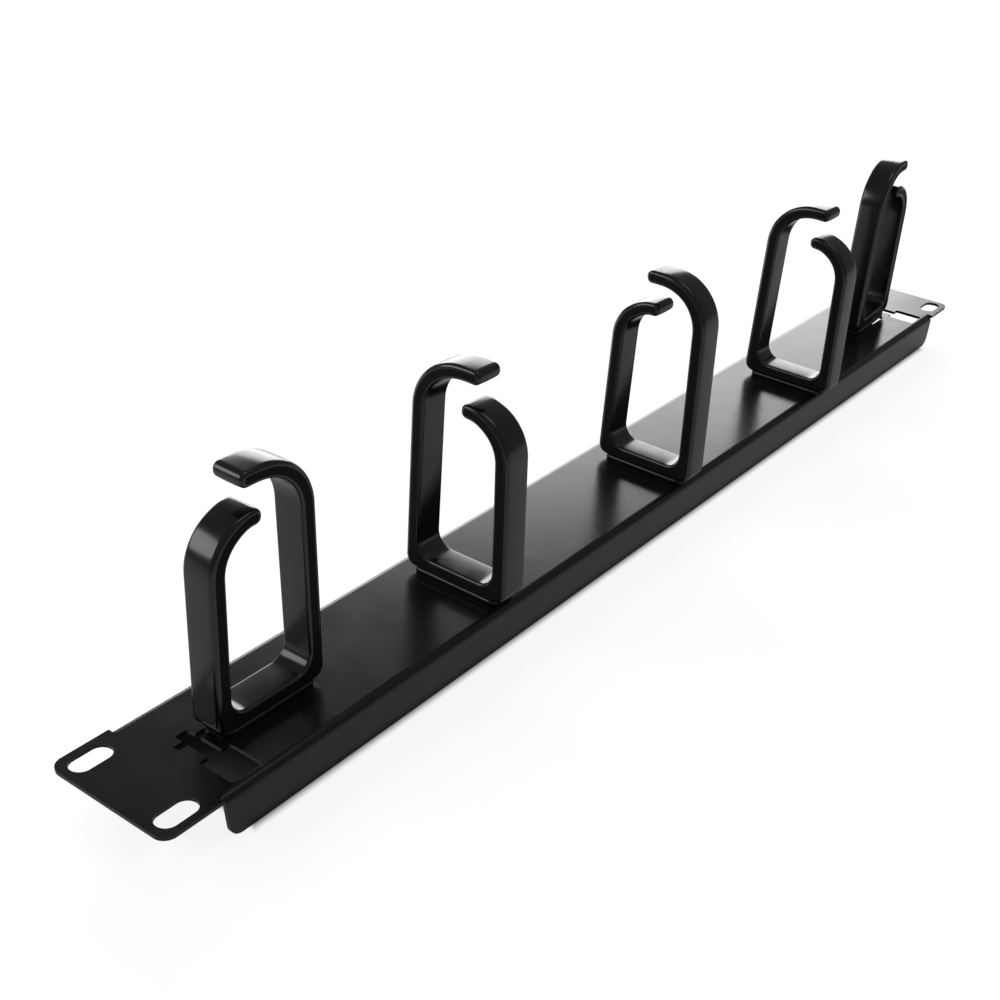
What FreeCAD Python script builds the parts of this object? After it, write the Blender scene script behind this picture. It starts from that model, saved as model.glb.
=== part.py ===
"""Rack cable management panel: a one-unit folded steel panel with five moulded cable rings.

The frame is in millimetres. X runs along the panel, Y across it and Z out of its face. The origin
is the middle of the four rack slots, on the plane where the ears seat on the rack rails.
"""

import math
import os

import FreeCAD
import Part

# Rack standard: the panel's length, and the spacings of its four slots
panel_length = 482.6
slot_spacing_x = 465.1
slot_spacing_y = 31.75

# Panel: a flat face with its long edges folded back
panel_height = 43.0
sheet = 1.2
bend_inside_radius = 1.5
fold_depth = 13.9
fold_end_slant = 5.5
fold_corner_radius = 4.4
ear_length = 19.5
ear_corner_radius = 3.9
relief_width = 0.5
slot_length = 12.6
slot_width = 6.8

# Keyholes: a window that the ring's foot enters, a narrow slot that it slides into, and a notch
window_width = 10.4
window_length = 12.2
narrow_width = 4.4
narrow_length = 12.5
notch_width = 2.2
notch_from_end = 2.9
keyhole_corner_radius = 0.7
keyhole_row_y = -5.95
spare_keyhole_from_end = 30.0

# Ring: one band bent from the high hook, down and along the base, and up to the low hook
ring_height = 72.8
ring_width = 39.2
ring_draft = 1.4
band_width = 10.6
leg_thickness = 4.6
hook_thickness = 4.3
base_thickness = 4.7
base_outside_radius = 3.9
base_inside_radius = 5.3
high_hook_radius = 17.8
high_hook_reach = 24.5
high_hook_dip = 1.3
low_hook_drop = 11.2
low_hook_radius = 15.4
low_hook_reach = 17.7
tip_radius = 1.7
edge_bevel = 0.7

# Foot: a shoulder that rests on the sheet, a neck through the narrow slot, and a head behind the sheet
shoulder_length = 22.0
shoulder_width = 9.2
shoulder_height = 1.5
foot_clearance = 0.3
foot_lift = 0.1
neck_length = 6.0
head_length = 11.0
head_thickness = 2.0

# Where the rings stand: along the panel, and how far each has slid from its keyhole's middle
row_pitch = 105.5
end_ring_from_end = 52.3
slide_1 = 2.0
slide_2 = 3.0
slide_3 = 1.6
slide_4 = -1.1
slide_5 = 2.0
twist_5 = 4.0

# Sizes that follow from the ones above
half_length = panel_length / 2
half_height = panel_height / 2
fold_half = half_length - ear_length
bend_outside_radius = bend_inside_radius + sheet
flat_half = half_height - bend_outside_radius
fold_edge_z = sheet - fold_depth
half_ring = ring_width / 2
spare_keyhole_x = half_length - spare_keyhole_from_end
end_ring_x = half_length - end_ring_from_end
neck_width = narrow_width - 2 * foot_clearance
head_width = window_width - 2 * foot_clearance
keyhole_length = window_length + narrow_length

up = FreeCAD.Vector(0, 0, 1)


def corner_arc(before, corner, after, radius):
    """The start, middle and end of the arc that rounds a corner."""
    to_before = (before - corner).normalize()
    to_after = (after - corner).normalize()
    half_angle = to_before.getAngle(to_after) / 2
    tangent = radius / math.tan(half_angle)
    inward = (to_before + to_after).normalize()
    middle = corner + inward * (radius / math.sin(half_angle) - radius)
    return corner + to_before * tangent, middle, corner + to_after * tangent


def rounded_face(corners):
    """A flat face through corners given in order, each as a point and its rounding radius."""
    points = [point for point, radius in corners]
    arcs = []
    for i, (point, radius) in enumerate(corners):
        after = points[(i + 1) % len(points)]
        if radius > 0:
            arcs.append(corner_arc(points[i - 1], point, after, radius))
        else:
            arcs.append((point, None, point))
    edges = []
    for i, (start, middle, end) in enumerate(arcs):
        last_end = arcs[i - 1][2]
        if last_end.distanceToPoint(start) > 1e-6:
            edges.append(Part.makeLine(last_end, start))
        if middle:
            edges.append(Part.Arc(start, middle, end).toShape())
    return Part.Face(Part.Wire(edges))


def plate(x_low, x_high, y_half):
    """A rectangle of the sheet, standing on the plane of the panel's back."""
    corner = FreeCAD.Vector(x_low, -y_half, 0)
    return Part.makeBox(x_high - x_low, 2 * y_half, sheet, corner)


def folded_body():
    """The face between the ears, with both long edges folded back and the folds' ends slanted."""
    inner_half = half_height - sheet
    section = [
        ((-half_height, fold_edge_z), 0.0),
        ((-half_height, sheet), bend_outside_radius),
        ((half_height, sheet), bend_outside_radius),
        ((half_height, fold_edge_z), 0.0),
        ((inner_half, fold_edge_z), 0.0),
        ((inner_half, 0), bend_inside_radius),
        ((-inner_half, 0), bend_inside_radius),
        ((-inner_half, fold_edge_z), 0.0),
    ]
    face = rounded_face([(FreeCAD.Vector(-fold_half, y, z), radius) for (y, z), radius in section])
    body = face.extrude(FreeCAD.Vector(2 * fold_half, 0, 0))
    bend_z = sheet - bend_outside_radius
    lip_half = fold_half - (bend_z - fold_edge_z) * math.tan(math.radians(fold_end_slant))
    front_view = [
        ((-lip_half, fold_edge_z), fold_corner_radius),
        ((lip_half, fold_edge_z), fold_corner_radius),
        ((fold_half, bend_z), 0.0),
        ((fold_half, sheet), 0.0),
        ((-fold_half, sheet), 0.0),
        ((-fold_half, bend_z), 0.0),
    ]
    view = rounded_face([(FreeCAD.Vector(x, -half_height, z), radius) for (x, z), radius in front_view])
    return body.common(view.extrude(FreeCAD.Vector(0, panel_height, 0)))


def ear(side):
    """The flat mounting ear at one end: side is -1 or 1."""
    inner = fold_half + relief_width
    seat = plate(inner, half_length, half_height)
    outer_corners = []
    for edge in seat.Edges:
        middle = edge.CenterOfMass
        if abs(middle.x - half_length) < 1e-6 and abs(middle.z - sheet / 2) < 1e-6:
            outer_corners.append(edge)
    seat = seat.makeFillet(ear_corner_radius, outer_corners)
    whole = seat.fuse(plate(fold_half, inner, flat_half))
    if side < 0:
        whole.rotate(FreeCAD.Vector(), up, 180)
    return whole


def rack_slots():
    """Cutters for the four rack slots, oblong with round ends."""
    end_radius = slot_width / 2
    end_x = slot_length / 2 - end_radius
    front_left = FreeCAD.Vector(-end_x, -end_radius, 0)
    front_right = FreeCAD.Vector(end_x, -end_radius, 0)
    back_right = FreeCAD.Vector(end_x, end_radius, 0)
    back_left = FreeCAD.Vector(-end_x, end_radius, 0)
    outline = [
        Part.makeLine(front_left, front_right),
        Part.Arc(front_right, FreeCAD.Vector(slot_length / 2, 0, 0), back_right).toShape(),
        Part.makeLine(back_right, back_left),
        Part.Arc(back_left, FreeCAD.Vector(-slot_length / 2, 0, 0), front_left).toShape(),
    ]
    slot = Part.Face(Part.Wire(outline)).extrude(up * sheet)
    cutters = []
    for x in (-slot_spacing_x / 2, slot_spacing_x / 2):
        for y in (-slot_spacing_y / 2, slot_spacing_y / 2):
            cutters.append(place(slot, x, y, 0, 0))
    return cutters


def keyhole():
    """Cutter for one keyhole, centred on the origin, its narrow end towards +Y."""
    front = -keyhole_length / 2
    back = keyhole_length / 2
    step = front + window_length
    notch_back = back - notch_from_end
    notch_front = notch_back - notch_width
    window_half = window_width / 2
    narrow_half = narrow_width / 2
    right_side = [
        ((window_half, front), keyhole_corner_radius),
        ((window_half, step), keyhole_corner_radius),
        ((narrow_half, step), 0.0),
        ((narrow_half, notch_front), 0.0),
        ((window_half, notch_front), 0.0),
        ((window_half, notch_back), 0.0),
        ((narrow_half, notch_back), 0.0),
        ((narrow_half, back), keyhole_corner_radius),
    ]
    left_side = [((-x, y), radius) for (x, y), radius in reversed(right_side)]
    outline = [(FreeCAD.Vector(x, y, 0), radius) for (x, y), radius in right_side + left_side]
    return rounded_face(outline).extrude(up * sheet)


def place(shape, x, y, z, turn):
    """A copy of the shape, turned about the vertical and then moved."""
    copy = shape.copy()
    copy.rotate(FreeCAD.Vector(), up, turn)
    copy.translate(FreeCAD.Vector(x, y, z))
    return copy


def ring_places():
    """Each ring's name, keyhole middle, keyhole turn, slide along the keyhole, and own turn."""
    return [
        ("cable_ring_1", -end_ring_x - slide_1, 0.0, -90, slide_1, 180),
        ("cable_ring_2", -row_pitch, keyhole_row_y, 0, slide_2, -90),
        ("cable_ring_3", 0.0, keyhole_row_y, 0, slide_3, 90),
        ("cable_ring_4", row_pitch, keyhole_row_y, 0, slide_4, -90),
        ("cable_ring_5", end_ring_x + slide_5, 0.0, 90, slide_5, twist_5),
    ]


def rack_panel():
    """The folded sheet with its ears, rack slots and keyholes. Each ear's seat stays a face of its own."""
    panel = folded_body().fuse([ear(-1), ear(1)])
    cutters = rack_slots()
    for x in (-spare_keyhole_x, spare_keyhole_x):
        cutters.append(place(keyhole(), x, keyhole_row_y, 0, 0))
    for name, x, y, keyhole_turn, slide, ring_turn in ring_places():
        cutters.append(place(keyhole(), x, y, 0, keyhole_turn))
    return panel.cut(cutters)


def band_face():
    """The ring's side outline, upright with the base's underside on Z = 0 and the high hook left."""
    dip = math.tan(math.radians(high_hook_dip))

    def outside(z):
        return half_ring - math.tan(math.radians(ring_draft)) * z

    def inside(z):
        return outside(z) - leg_thickness

    high_corner_z = ring_height + dip * high_hook_radius
    high_tip_x = -outside(high_corner_z) + high_hook_reach
    high_tip_z = high_corner_z - dip * high_hook_reach
    high_inner_z = high_corner_z - hook_thickness
    low_top_z = ring_height - low_hook_drop
    low_inner_z = low_top_z - hook_thickness
    low_tip_x = outside(low_top_z) - low_hook_reach
    high_inner_radius = high_hook_radius - hook_thickness
    low_inner_radius = low_hook_radius - hook_thickness
    outline = [
        ((-half_ring, 0), base_outside_radius),
        ((half_ring, 0), base_outside_radius),
        ((outside(low_top_z), low_top_z), low_hook_radius),
        ((low_tip_x, low_top_z), tip_radius),
        ((low_tip_x, low_inner_z), tip_radius),
        ((inside(low_inner_z), low_inner_z), low_inner_radius),
        ((inside(base_thickness), base_thickness), base_inside_radius),
        ((-inside(base_thickness), base_thickness), base_inside_radius),
        ((-inside(high_inner_z), high_inner_z), high_inner_radius),
        ((high_tip_x, high_tip_z - hook_thickness), tip_radius),
        ((high_tip_x, high_tip_z), tip_radius),
        ((-outside(high_corner_z), high_corner_z), high_hook_radius),
    ]
    return rounded_face([(FreeCAD.Vector(x, 0, z), radius) for (x, z), radius in outline])


def thicken(face, width):
    """A solid of the face, reaching half the width to each side of it."""
    moved = face.copy()
    moved.translate(FreeCAD.Vector(0, -width / 2, 0))
    return moved.extrude(FreeCAD.Vector(0, width, 0))


def ring_band():
    """The bent band, its edges bevelled."""
    band = thicken(band_face(), band_width)
    side_edges = []
    for edge in band.Edges:
        box = edge.BoundBox
        if box.YLength < 1e-6 and abs(abs(box.YMin) - band_width / 2) < 1e-6:
            side_edges.append(edge)
    return band.makeChamfer(edge_bevel, side_edges)


def ring_foot():
    """The foot under the base: its shoulder stands on Z = 0, and its neck and head are below."""
    shoulder = Part.makeBox(shoulder_length, shoulder_width, shoulder_height)
    shoulder.translate(FreeCAD.Vector(-shoulder_length / 2, -shoulder_width / 2, 0))
    neck_bottom = -sheet - foot_lift
    neck = Part.makeBox(neck_length, neck_width, -neck_bottom)
    neck.translate(FreeCAD.Vector(-neck_length / 2, -neck_width / 2, neck_bottom))
    head = Part.makeBox(head_length, head_width, head_thickness)
    head.translate(FreeCAD.Vector(-head_length / 2, -head_width / 2, neck_bottom - head_thickness))
    return shoulder.fuse([neck, head])


def cable_ring():
    """One ring, its foot's shoulder standing on the origin and its band running along X."""
    band = ring_band()
    band.translate(up * shoulder_height)
    return band.fuse(ring_foot()).removeSplitter()


def write_step(shape, name):
    """Writes one sub-part, checked to be a single closed solid."""
    solids = shape.Solids
    if len(solids) != 1 or not solids[0].isValid():
        raise ValueError(name + " is not one valid solid")
    solids[0].exportStep(os.path.join("parts", name + ".step"))


def main():
    """Builds every sub-part and writes it."""
    os.makedirs("parts", exist_ok=True)
    write_step(rack_panel(), "rack_panel")
    ring = cable_ring()
    for name, x, y, keyhole_turn, slide, ring_turn in ring_places():
        along = math.radians(keyhole_turn + 90)
        ring_x = x + slide * math.cos(along)
        ring_y = y + slide * math.sin(along)
        write_step(place(ring, ring_x, ring_y, sheet, ring_turn), name)


main()
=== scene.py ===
import math

import bmesh
import bpy
from mathutils import Matrix, Vector


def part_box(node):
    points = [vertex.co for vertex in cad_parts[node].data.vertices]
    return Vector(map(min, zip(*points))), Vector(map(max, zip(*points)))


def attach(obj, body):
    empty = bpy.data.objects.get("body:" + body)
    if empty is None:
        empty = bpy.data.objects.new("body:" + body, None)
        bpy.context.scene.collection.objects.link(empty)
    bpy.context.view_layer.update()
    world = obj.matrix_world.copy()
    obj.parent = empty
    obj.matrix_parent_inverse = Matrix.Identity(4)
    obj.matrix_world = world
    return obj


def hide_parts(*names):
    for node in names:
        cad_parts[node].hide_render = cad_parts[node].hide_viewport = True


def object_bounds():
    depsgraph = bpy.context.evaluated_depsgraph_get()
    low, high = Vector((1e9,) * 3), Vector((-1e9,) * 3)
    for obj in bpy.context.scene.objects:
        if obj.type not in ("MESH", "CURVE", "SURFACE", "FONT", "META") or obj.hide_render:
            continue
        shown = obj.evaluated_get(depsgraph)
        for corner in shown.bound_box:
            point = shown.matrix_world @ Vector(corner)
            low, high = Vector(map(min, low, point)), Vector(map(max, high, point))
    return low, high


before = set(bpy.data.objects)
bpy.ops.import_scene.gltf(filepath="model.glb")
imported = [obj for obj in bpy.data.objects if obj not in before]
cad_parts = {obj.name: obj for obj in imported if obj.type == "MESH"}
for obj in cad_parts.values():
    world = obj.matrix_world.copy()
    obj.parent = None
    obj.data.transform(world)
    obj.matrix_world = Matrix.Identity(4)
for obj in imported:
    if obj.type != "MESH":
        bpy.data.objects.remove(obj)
cad_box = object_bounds()

mm = 0.001

# Photograph's view: place in metres, turn in degrees, lens and sensor in millimetres
camera_place = (-0.39331, -0.22554, 0.23472)
camera_turn = (56.804, -3.836, -54.176)
camera_lens = 49.874
camera_sensor = 36.0
camera_shift = (-0.05243, 0.09781)
camera_clip_start = 0.01

# Ring moulding, in millimetres and degrees
ring_height = 72.8
ring_half = 19.6
ring_draft = 1.4
band_width = 10.6
leg_thickness = 5.1
hook_thickness = 4.5
base_thickness = 4.7
base_outside_radius = 3.9
base_inside_radius = 5.3
high_hook_radius = 17.8
high_hook_reach = 24.5
high_hook_dip = 1.3
low_hook_drop = 11.2
low_hook_radius = 15.4
low_hook_reach = 17.7
tip_radius = 2.1
tip_blend = 5.0
outer_edge_radius = 1.4
inner_edge_radius = 0.9
outer_crown = 0.2
inner_crown = 0.15

# Steps of the ring's curves. Its corners go from the high hook's tip round to the low hook's tip
corner_steps = (6, 24, 10, 10, 24, 6)
straight_steps = 10
edge_steps = 6
crown_steps = 5

# Foot under each ring, in millimetres. The shoulder's rounded upper edge is the bead seen along
# the lower edge of the base
shoulder_size = (33.0, 10.6)
shoulder_height = 1.5
shoulder_rise = 0.3
shoulder_corner_radius = 3.0
shoulder_edge_radius = 0.6
neck_size = (6.0, 3.8)
neck_drop = 1.3
neck_in_shoulder = 1.0
neck_in_head = 0.3
head_size = (11.0, 9.8)
head_height = 2.0
foot_corner_radius = 0.6
foot_edge_radius = 0.25
foot_corner_steps = 6
foot_edge_steps = 4

# Each ring's turn about the vertical, in degrees: its high hook's leg stands on its own -X side
ring_turns = {
    "cable_ring_1": 180.0,
    "cable_ring_2": -90.0,
    "cable_ring_3": 90.0,
    "cable_ring_4": -90.0,
    "cable_ring_5": 4.0,
}

# Folded sheet, in millimetres and degrees. Its normals follow its large faces fully
panel_half_height = 21.5
sheet = 1.2
bend_inside_radius = 1.5
bend_cuts = 3
sheet_edge_radius = 0.22
sheet_edge_steps = 3
sheet_edge_angle = 40
sheet_flat_angle = 1
large_face_weight = 100

# Points of the solids closer than this are taken as one, in metres
closest = 1e-6

# Floor, in metres: its size, and the shade under the panel
floor_half = 6.0
shade_half = (0.214, 0.0225)
shade_fade = 0.004

# How much brighter than it is the camera sees the floor, and how much brighter reflections see it:
# in general, far to the left and behind the panel. One level fades into the next over each range,
# given in metres
floor_glow = 0.85
floor_glow_reflected = 0.24
floor_glow_far_left = 0.06
floor_glow_behind = 0.75
far_left_x = (-0.6, -0.35)
behind_x = (-0.3, -0.1)
behind_y = (0.08, 0.16)

# Studio around the object: how bright it lights, and how much brighter reflections see it
studio_level = 0.12
studio_reflected = 0.04

# Soft boxes aimed at one point: shape, azimuth and elevation in degrees, distance and size in
# metres, radiance
light_target = (0.0, 0.0, 0.03)
soft_boxes = {
    "back_light": ("ELLIPSE", 41, 13.7, 1.6, (1.55, 0.9), 3.9),
    "left_soft_box": ("ELLIPSE", 140, 22, 1.2, (0.8, 0.54), 2.5),
    "top_fill": ("RECTANGLE", 300, 75, 1.5, (0.8, 0.8), 0.8),
}


def rounded_corner(before, corner, after, radius, steps):
    """An arc at a corner between two straight lines, as pairs of a point and a normal."""
    back = (before - corner).normalized()
    ahead = (after - corner).normalized()
    half_angle = back.angle(ahead) / 2
    tangent = radius / math.tan(half_angle)
    centre = corner + (back + ahead).normalized() * (radius / math.sin(half_angle))
    start = corner + back * tangent - centre
    sweep = start.angle_signed(corner + ahead * tangent - centre)
    arc = []
    for k in range(steps + 1):
        spoke = start.copy()
        spoke.rotate(Matrix.Rotation(-sweep * k / steps, 2))
        arc.append((centre + spoke, spoke.normalized()))
    return arc


def sampled_chain(corners):
    """Points and outward normals along a chain of rounded corners, given as (x, z, radius, bend).

    The first and last corners only start and end the chain. bend is 1 where the outline is convex
    and -1 where it is hollow."""
    places = [Vector((x, z)) for x, z, radius, bend in corners]
    arcs = []
    for i, steps in enumerate(corner_steps, start=1):
        radius, bend = corners[i][2:]
        arc = rounded_corner(places[i - 1], places[i], places[i + 1], radius, steps)
        arcs.append([(point, normal * bend) for point, normal in arc])
    chain = list(arcs[0])
    for last, arc in zip(arcs, arcs[1:]):
        start, normal = last[-1]
        end = arc[0][0]
        for k in range(1, straight_steps):
            chain.append((start.lerp(end, k / straight_steps), normal))
        chain += arc
    return chain


def band_chains():
    """The ring's outer and inner sides as matching chains of points and outward normals."""
    slope = math.tan(math.radians(ring_draft))
    dip = math.tan(math.radians(high_hook_dip))

    def outside(z):
        return ring_half - slope * z

    def inside(z):
        return outside(z) - leg_thickness

    high_z = ring_height + dip * high_hook_radius
    high_inner_z = high_z - hook_thickness
    high_tip_x = -outside(high_z) + high_hook_reach
    high_tip_z = high_z - dip * high_hook_reach
    low_z = ring_height - low_hook_drop
    low_inner_z = low_z - hook_thickness
    low_tip_x = outside(low_z) - low_hook_reach
    high_middle = (high_tip_x, high_tip_z - hook_thickness / 2, 0, 1)
    low_middle = (low_tip_x, low_z - hook_thickness / 2, 0, 1)
    outer = [
        high_middle,
        (high_tip_x, high_tip_z, tip_radius, 1),
        (-outside(high_z), high_z, high_hook_radius, 1),
        (-ring_half, 0, base_outside_radius, 1),
        (ring_half, 0, base_outside_radius, 1),
        (outside(low_z), low_z, low_hook_radius, 1),
        (low_tip_x, low_z, tip_radius, 1),
        low_middle,
    ]
    inner = [
        high_middle,
        (high_tip_x, high_tip_z - hook_thickness, tip_radius, 1),
        (-inside(high_inner_z), high_inner_z, high_hook_radius - hook_thickness, -1),
        (-inside(base_thickness), base_thickness, base_inside_radius, -1),
        (inside(base_thickness), base_thickness, base_inside_radius, -1),
        (inside(low_inner_z), low_inner_z, low_hook_radius - hook_thickness, -1),
        (low_tip_x, low_inner_z, tip_radius, 1),
        low_middle,
    ]
    return sampled_chain(outer), sampled_chain(inner)


def tip_weights(chain):
    """How far each point of a chain is from the tips, from 0 at a tip to 1 along the band."""
    points = [point for point, normal in chain]
    weights = []
    for point in points:
        from_tip = min((point - tip).length for tip in (points[0], points[-1]))
        weight = min(max((from_tip - 2 * tip_radius) / tip_blend, 0.0), 1.0)
        weights.append(weight * weight * (3 - 2 * weight))
    return weights


def face_section(edge_radius, crown, lift):
    """One face of the band from side to side: how far across, and how far in, each point lies.

    The face is rounded at its edges and crowned, and lift raises all of it."""
    half = band_width / 2
    flat_half = half - edge_radius
    edge_in = crown * (flat_half / half) ** 2
    side = []
    for k in range(edge_steps):
        angle = math.pi / 2 * k / edge_steps
        across = flat_half + edge_radius * math.cos(angle)
        side.append(Vector((across, edge_in + edge_radius * (1 - math.sin(angle)) - lift)))
    for k in range(crown_steps):
        across = flat_half * (1 - k / crown_steps)
        side.append(Vector((across, crown * (across / half) ** 2 - lift)))
    other_side = [Vector((-across, inset)) for across, inset in reversed(side)]
    return side + [Vector((0.0, -lift))] + other_side


def join_rows(bm, first, second, material):
    """Faces between two closed rows of points."""
    for k in range(len(first)):
        after = (k + 1) % len(first)
        face = bm.faces.new((first[k], second[k], second[after], first[after]))
        face.material_index = material


def add_band(bm):
    """The ring's band above its shoulder: material 0, and 1 on the two flat sides, a copy of the
    plastic with painted light and shade.
    """
    outer, inner = band_chains()
    loop = outer + inner[::-1]
    weights = tip_weights(outer) + tip_weights(inner)[::-1]
    outer_section = face_section(outer_edge_radius, outer_crown, 0.0)
    inner_section = face_section(inner_edge_radius, inner_crown, inner_crown)
    rows = []
    for outer_point, inner_point in zip(outer_section, inner_section):
        tip_point = (outer_point + inner_point) / 2
        row = []
        for k, ((point, normal), weight) in enumerate(zip(loop, weights)):
            own_point = outer_point if k < len(outer) else inner_point
            across, inset = tip_point.lerp(own_point, weight)
            moved = point - normal * inset
            row.append(bm.verts.new((moved.x, across, moved.y + shoulder_height)))
        rows.append(row)
    for first, second in zip(rows, rows[1:]):
        join_rows(bm, first, second, material=0)
    count = len(loop)
    for row in (rows[0], rows[-1]):
        for k in range(len(outer) - 1):
            face = bm.faces.new((row[k], row[k + 1], row[count - 2 - k], row[count - 1 - k]))
            face.material_index = 1


def foot_plan(size, corner_radius):
    """Points and outward normals round one part of the foot, seen from above."""
    x, y = size[0] / 2 - corner_radius, size[1] / 2 - corner_radius
    centres = (Vector((x, y)), Vector((-x, y)), Vector((-x, -y)), Vector((x, -y)))
    plan = []
    for quarter, centre in enumerate(centres):
        for k in range(foot_corner_steps + 1):
            angle = math.pi / 2 * (quarter + k / foot_corner_steps)
            normal = Vector((math.cos(angle), math.sin(angle)))
            plan.append((centre + normal * corner_radius, normal))
    return plan


def add_foot_part(bm, size, low, high, corner_radius, edge_radius):
    """A closed block from low to high: material 1, the plastic with painted light and shade, and 0
    on its rounded upper and lower edges.
    """
    rounding = []
    for k in range(foot_edge_steps + 1):
        angle = math.pi / 2 * k / foot_edge_steps
        rounding.append((edge_radius * (1 - math.sin(angle)), edge_radius * (1 - math.cos(angle))))
    levels = [(inset, low + rise) for inset, rise in rounding]
    levels += [(inset, high - rise) for inset, rise in reversed(rounding)]
    plan = foot_plan(size, corner_radius)
    rows = []
    for inset, z in levels:
        rows.append([bm.verts.new((*(point - normal * inset), z)) for point, normal in plan])
    for i, (first, second) in enumerate(zip(rows, rows[1:])):
        join_rows(bm, first, second, material=1 if i == foot_edge_steps else 0)
    for row in (rows[0], rows[-1]):
        bm.faces.new(row).material_index = 1


def add_foot(bm):
    """The shoulder on the sheet, the neck in the keyhole and the head behind the sheet."""
    add_foot_part(
        bm, shoulder_size, 0.0, shoulder_height + shoulder_rise,
        shoulder_corner_radius, shoulder_edge_radius)
    add_foot_part(
        bm, neck_size, -neck_drop - neck_in_head, neck_in_shoulder,
        foot_corner_radius, foot_edge_radius)
    add_foot_part(
        bm, head_size, -neck_drop - head_height, -neck_drop,
        foot_corner_radius, foot_edge_radius)


def ring_mesh(materials):
    """One ring in metres, its shoulder's underside at the origin."""
    bm = bmesh.new()
    add_band(bm)
    add_foot(bm)
    bmesh.ops.recalc_face_normals(bm, faces=bm.faces)
    bmesh.ops.scale(bm, vec=(mm, mm, mm), verts=bm.verts)
    mesh = bpy.data.meshes.new("cable_ring")
    bm.to_mesh(mesh)
    bm.free()
    mesh.shade_smooth()
    for material in materials:
        mesh.materials.append(material)
    return mesh


def add_object(name, data):
    """A new object in the scene, made of a mesh, a light or a camera."""
    made = bpy.data.objects.new(name, data)
    bpy.context.scene.collection.objects.link(made)
    return made


def apply_modifiers(piece):
    """Turns the piece's modifiers into its mesh."""
    with bpy.context.temp_override(object=piece, active_object=piece, selected_objects=[piece]):
        for modifier in list(piece.modifiers):
            bpy.ops.object.modifier_apply(modifier=modifier.name)


def make_rings(materials):
    """Five mouldings, each standing where its solid stands in the frame."""
    for name, turn in ring_turns.items():
        low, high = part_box(name)
        mesh = ring_mesh(materials)
        place = Vector(((low[0] + high[0]) / 2, (low[1] + high[1]) / 2, sheet * mm))
        mesh.transform(Matrix.Translation(place) @ Matrix.Rotation(math.radians(turn), 4, "Z"))
        ring = add_object(name + "_moulding", mesh)
        weighted = ring.modifiers.new("weighted", "WEIGHTED_NORMAL")
        weighted.keep_sharp = True
        apply_modifiers(ring)
        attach(ring, "root")
        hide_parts(name)


def round_bends(bm):
    """Divides the flats along both bends and moves the new points out to the true radius."""
    bend_outside_radius = bend_inside_radius + sheet
    middle_radius = (bend_inside_radius + sheet / 2) * mm
    axis_y = (panel_half_height - bend_outside_radius) * mm
    axis_z = (sheet - bend_outside_radius) * mm
    chords = []
    for edge in bm.edges:
        first, second = (vert.co for vert in edge.verts)
        along = second - first
        on_bend = (min(abs(first.y), abs(second.y)) > axis_y - closest
                   and min(first.z, second.z) > axis_z - closest)
        if on_bend and abs(along.x) < closest < min(abs(along.y), abs(along.z)):
            chords.append(edge)
    made = bmesh.ops.subdivide_edges(bm, edges=chords, cuts=bend_cuts, use_grid_fill=True)
    for vert in (item for item in made["geom_inner"] if isinstance(item, bmesh.types.BMVert)):
        out = Vector((abs(vert.co.y) - axis_y, vert.co.z - axis_z))
        radius = bend_outside_radius if out.length > middle_radius else bend_inside_radius
        out = out.normalized() * radius * mm
        vert.co.y = math.copysign(axis_y + out.x, vert.co.y)
        vert.co.z = axis_z + out.y


def make_panel(face_coat, edge_highlight_coat):
    """The folded sheet with every cut edge softened by its coating, and the rounded edges painted
    lighter: a painted highlight.
    """
    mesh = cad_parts["rack_panel"].data.copy()
    mesh.name = "rack_panel_sheet"
    bm = bmesh.new()
    bm.from_mesh(mesh)
    bmesh.ops.remove_doubles(bm, verts=bm.verts, dist=closest)
    bmesh.ops.dissolve_limit(
        bm, angle_limit=math.radians(sheet_flat_angle), verts=bm.verts, edges=bm.edges)
    round_bends(bm)
    bm.to_mesh(mesh)
    bm.free()
    mesh.materials.clear()
    mesh.materials.append(face_coat)
    mesh.materials.append(edge_highlight_coat)
    mesh.shade_smooth()
    panel = add_object("rack_panel_sheet", mesh)
    bevel = panel.modifiers.new("bevel", "BEVEL")
    bevel.width = sheet_edge_radius * mm
    bevel.segments = sheet_edge_steps
    bevel.limit_method = "ANGLE"
    bevel.angle_limit = math.radians(sheet_edge_angle)
    # The rounded edges take the lighter edge coat: a painted highlight along every cut edge.
    bevel.material = 1
    panel.modifiers.new("weighted", "WEIGHTED_NORMAL").weight = large_face_weight
    apply_modifiers(panel)
    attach(panel, "root")
    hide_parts("rack_panel")


class Nodes:
    """Short calls for building one material's or one world's nodes.

    A value given to them is a number or another node's output."""

    def __init__(self, owner):
        owner.use_nodes = True
        self.tree = owner.node_tree

    def add(self, kind, **settings):
        node = self.tree.nodes.new(kind)
        for key, value in settings.items():
            setattr(node, key, value)
        return node

    def link(self, source, target):
        self.tree.links.new(source, target)

    def give(self, value, target):
        """Sets or links one input."""
        if isinstance(value, bpy.types.NodeSocket):
            self.link(value, target)
        else:
            target.default_value = value

    def compute(self, operation, *values):
        """A sum, a product or the like of some values."""
        node = self.add("ShaderNodeMath", operation=operation)
        for value, target in zip(values, node.inputs):
            self.give(value, target)
        return node.outputs["Value"]

    def fade(self, value, start, end, low=0.0, high=1.0, interpolation="SMOOTHSTEP"):
        """Goes from low to high while the value goes from start to end."""
        node = self.add("ShaderNodeMapRange", interpolation_type=interpolation)
        targets = ("Value", "From Min", "From Max", "To Min", "To Max")
        for target, given in zip(targets, (value, start, end, low, high)):
            self.give(given, node.inputs[target])
        return node.outputs["Result"]

    def seen_brighter(self, direct, reflected):
        """The value direct for the camera and see-through rays, and reflected for reflections."""
        paths = self.add("ShaderNodeLightPath").outputs
        either = self.compute("MAXIMUM", paths["Is Camera Ray"], paths["Is Transmission Ray"])
        glossy = self.compute("MULTIPLY", paths["Is Glossy Ray"], reflected)
        return self.compute("MULTIPLY_ADD", either, direct, glossy)


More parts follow.
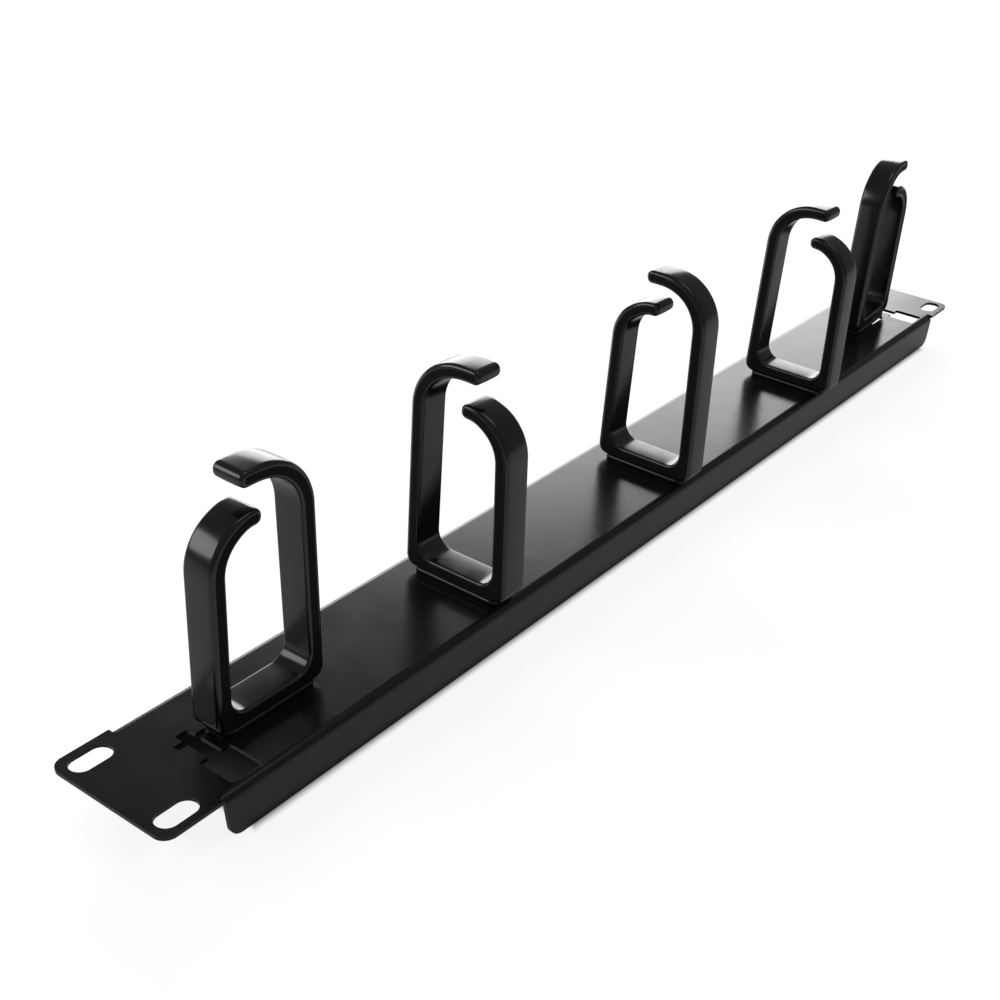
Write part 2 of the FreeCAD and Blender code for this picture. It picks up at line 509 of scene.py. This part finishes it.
class Finish(Nodes):
    """A material's nodes. A noise's grain is about 1/scale metres."""

    noise_range = (0.3, 0.7)

    def __init__(self, name):
        self.material = bpy.data.materials.new(name)
        super().__init__(self.material)
        self.shader = self.tree.nodes["Principled BSDF"]
        self.coordinates = self.add("ShaderNodeTexCoord").outputs["Object"]

    def noise(self, scale, detail):
        """Noise in the object's own space, mostly within noise_range."""
        noise = self.add("ShaderNodeTexNoise")
        noise.inputs["Scale"].default_value = scale
        noise.inputs["Detail"].default_value = detail
        self.link(self.coordinates, noise.inputs["Vector"])
        return noise.outputs["Fac"]

    def axes(self):
        """The shaded point's place along each axis, in metres."""
        place = self.add("ShaderNodeSeparateXYZ")
        self.link(self.coordinates, place.inputs["Vector"])
        return place.outputs

    def colour(self, noise, dark, light):
        """A base colour that wanders between two close colours."""
        ramp = self.add("ShaderNodeValToRGB")
        for element, position, tint in zip(
                ramp.color_ramp.elements, self.noise_range, (dark, light)):
            element.position = position
            element.color = (*tint, 1)
        self.link(noise, ramp.inputs["Fac"])
        self.link(ramp.outputs["Color"], self.shader.inputs["Base Color"])

    def roughness(self, noise, low, high):
        """A roughness that wanders between two values."""
        spread = self.fade(noise, *self.noise_range, low, high, interpolation="LINEAR")
        self.link(spread, self.shader.inputs["Roughness"])

    def bump(self, noise, height, under=None):
        """Relief of about the given height in metres, on top of another relief if one is given."""
        bump = self.add("ShaderNodeBump")
        bump.inputs["Strength"].default_value = 1.0
        bump.inputs["Distance"].default_value = height
        self.link(noise, bump.inputs["Height"])
        if under is not None:
            self.link(under, bump.inputs["Normal"])
        self.link(bump.outputs["Normal"], self.shader.inputs["Normal"])
        return bump.outputs["Normal"]


def powder_coat(name, dark, light):
    """Semi-gloss black powder coat: orange peel under a fine grain, with slightly uneven gloss."""
    finish = Finish(name)
    finish.colour(finish.noise(scale=60, detail=4), dark, light)
    finish.roughness(finish.noise(scale=90, detail=4), low=0.2, high=0.24)
    peel = finish.bump(finish.noise(scale=700, detail=2), height=0.012 * mm)
    finish.bump(finish.noise(scale=3500, detail=2), height=0.003 * mm, under=peel)
    return finish.material


def ring_plastic(name, dark, light, roughness, specular):
    """Black moulded plastic: a faint flow pattern in its gloss and a slight waviness."""
    finish = Finish(name)
    finish.colour(finish.noise(scale=120, detail=4), dark, light)
    finish.roughness(finish.noise(scale=160, detail=5), *roughness)
    finish.bump(finish.noise(scale=90, detail=1), height=0.03 * mm)
    finish.shader.inputs["Specular IOR Level"].default_value = specular
    return finish.material


def beyond_panel(finish):
    """How far a point of the floor is out of the shade under the panel, from 0 to 1."""
    place = finish.axes()
    outside = []
    for axis, half in zip("XY", shade_half):
        away = finish.compute("ABSOLUTE", place[axis])
        outside.append(finish.fade(away, half - shade_fade / 2, half + shade_fade / 2))
    return finish.compute("MAXIMUM", *outside)


def reflected_glow(finish):
    """How bright reflections see the floor: dim far to the left, and bright behind the panel."""
    place = finish.axes()
    behind = finish.compute(
        "MULTIPLY",
        finish.fade(place["Y"], *behind_y, 0.0, floor_glow_behind),
        finish.fade(place["X"], *behind_x))
    left = finish.fade(place["X"], *far_left_x, floor_glow_far_left, floor_glow_reflected)
    return finish.compute("ADD", left, behind)


def floor_material():
    """White paper: the camera sees it brightened to white, and reflections see it less so."""
    finish = Finish("floor_paper")
    finish.colour(finish.noise(scale=3, detail=2), dark=(0.5, 0.5, 0.5), light=(0.53, 0.53, 0.53))
    finish.shader.inputs["Roughness"].default_value = 0.9
    finish.shader.inputs["Specular IOR Level"].default_value = 0.1
    seen = finish.seen_brighter(floor_glow, reflected_glow(finish))
    glow = finish.add("ShaderNodeEmission")
    finish.link(finish.compute("MULTIPLY", seen, beyond_panel(finish)), glow.inputs["Strength"])
    total = finish.add("ShaderNodeAddShader")
    finish.link(finish.shader.outputs["BSDF"], total.inputs[0])
    finish.link(glow.outputs["Emission"], total.inputs[1])
    output = finish.tree.nodes["Material Output"]
    finish.link(total.outputs["Shader"], output.inputs["Surface"])
    return finish.material


def make_floor():
    """A plain floor under the panel's folded edges."""
    bm = bmesh.new()
    bmesh.ops.create_grid(bm, x_segments=1, y_segments=1, size=floor_half)
    mesh = bpy.data.meshes.new("floor")
    bm.to_mesh(mesh)
    bm.free()
    mesh.materials.append(floor_material())
    floor = add_object("floor", mesh)
    floor.location = (0.0, 0.0, cad_box[0][2])


def add_soft_box(name, shape, azimuth, elevation, distance, size, radiance):
    """A soft box aimed at the object. Its power gives the same radiance at any size."""
    light = bpy.data.lights.new(name, "AREA")
    light.shape = shape
    light.size, light.size_y = size
    filled = math.pi / 4 if shape == "ELLIPSE" else 1
    light.energy = radiance * math.pi * size[0] * size[1] * filled
    azimuth, elevation = math.radians(azimuth), math.radians(elevation)
    toward = Vector((
        math.cos(elevation) * math.cos(azimuth),
        math.cos(elevation) * math.sin(azimuth),
        math.sin(elevation),
    ))
    lamp = add_object(name, light)
    lamp.location = Vector(light_target) + toward * distance
    lamp.rotation_euler = toward.to_track_quat("Z", "Y").to_euler()


def make_lights():
    """The soft boxes, and a dim studio around them that the camera sees as white."""
    for name, settings in soft_boxes.items():
        add_soft_box(name, *settings)
    world = bpy.data.worlds.new("studio")
    bpy.context.scene.world = world
    nodes = Nodes(world)
    background = nodes.tree.nodes["Background"]
    background.inputs["Color"].default_value = (1, 1, 1, 1)
    seen = nodes.seen_brighter(1 - studio_level, studio_reflected)
    nodes.link(nodes.compute("ADD", seen, studio_level), background.inputs["Strength"])


def make_camera():
    """The photograph's view."""
    data = bpy.data.cameras.new("camera")
    data.lens = camera_lens
    data.sensor_width = camera_sensor
    data.shift_x, data.shift_y = camera_shift
    data.clip_start = camera_clip_start
    camera = add_object("camera", data)
    camera.location = camera_place
    camera.rotation_euler = [math.radians(angle) for angle in camera_turn]
    bpy.context.scene.camera = camera


band_plastic = ring_plastic(
    "ring_band", dark=(0.003, 0.003, 0.0031), light=(0.005, 0.005, 0.0052),
    roughness=(0.16, 0.22), specular=0.75)
# The flat sides take a copy of the band's plastic: its lighter base colour is painted light, and
# its weak reflection paints them darker than the band.
side_plastic_painted_shading = ring_plastic(
    "ring_side_painted_shading", dark=(0.017, 0.017, 0.0172), light=(0.022, 0.022, 0.0223),
    roughness=(0.42, 0.5), specular=0.05)
sheet_coat = powder_coat("panel_coat", dark=(0.0075, 0.0073, 0.007), light=(0.012, 0.0117, 0.0112))
# A lighter copy of the coat for the rounded sheet edges: a painted highlight.
edge_highlight_coat = powder_coat("panel_edge_painted_highlight", dark=(0.03, 0.029, 0.027), light=(0.042, 0.041, 0.039))
make_rings((band_plastic, side_plastic_painted_shading))
make_panel(sheet_coat, edge_highlight_coat)
make_floor()
make_lights()
make_camera()
bpy.context.scene.view_settings.view_transform = "Standard"
